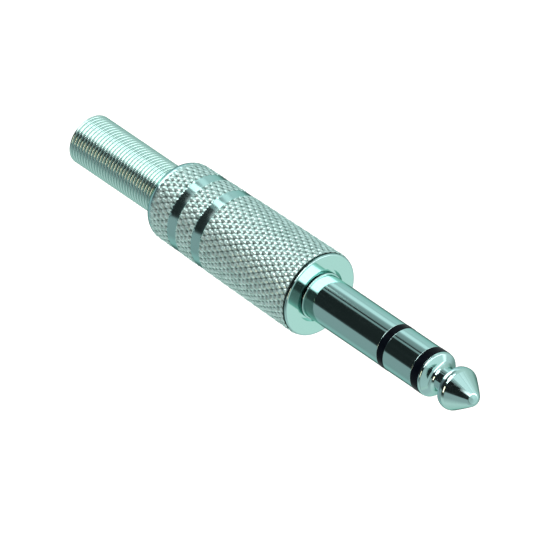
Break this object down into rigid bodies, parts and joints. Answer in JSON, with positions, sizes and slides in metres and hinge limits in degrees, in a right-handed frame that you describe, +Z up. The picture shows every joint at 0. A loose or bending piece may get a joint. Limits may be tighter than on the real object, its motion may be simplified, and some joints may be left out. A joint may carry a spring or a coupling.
{
  "type": "stereo jack plug",
  "caption": "Three-contact 6.35 mm audio plug with a knurled screw-on barrel and a close-wound spring where the cable enters.",
  "frame": {"origin": "centre of the flange's front face, the shoulder that meets a socket", "axes": "+X along the plug towards its tip, +Z up"},
  "size_m": [0.077, 0.012, 0.012],
  "materials": {
    "polished_nickel": "turned brass with bright nickel plating",
    "knurled_nickel": "knurled brass with satin nickel plating",
    "spring_steel": "nickel-plated spring wire",
    "black_collar": "smooth black moulding",
    "tinned_brass": "stamped and tinned",
    "fibre_washer": "punched vulcanised fibre",
    "liner_tube": "extruded natural tube"
  },
  "bodies": {
    "plug": {"tip_contact": "polished_nickel", "tip_insulator": "black_collar", "ring_contact": "polished_nickel", "ring_insulator": "black_collar", "plug_body": "polished_nickel", "sleeve_terminal": "tinned_brass", "body_washer": "fibre_washer", "ring_terminal": "tinned_brass", "terminal_washer": "fibre_washer", "tip_terminal": "tinned_brass"},
    "liner": {"liner": "liner_tube"},
    "spring": {"spring": "spring_steel"},
    "barrel": {"barrel": "knurled_nickel"}
  },
  "joints": [
    {"name": "shell_pull_off", "type": "slide", "parent": "plug", "child": "liner", "axis": [-1, 0, 0], "range_m": [0, 0.025]},
    {"name": "thread_travel", "type": "slide", "parent": "liner", "child": "spring", "axis": [-1, 0, 0], "range_m": [0, 0.0055]},
    {"name": "barrel_turn", "type": "hinge", "parent": "spring", "child": "barrel", "pos_m": [0, 0, 0], "axis": [-1, 0, 0], "range_deg": [0, 2640]}
  ],
  "couplings": [
    {"joint": "thread_travel", "follows": "barrel_turn", "m_per_rad": 0.00011937}
  ]
}
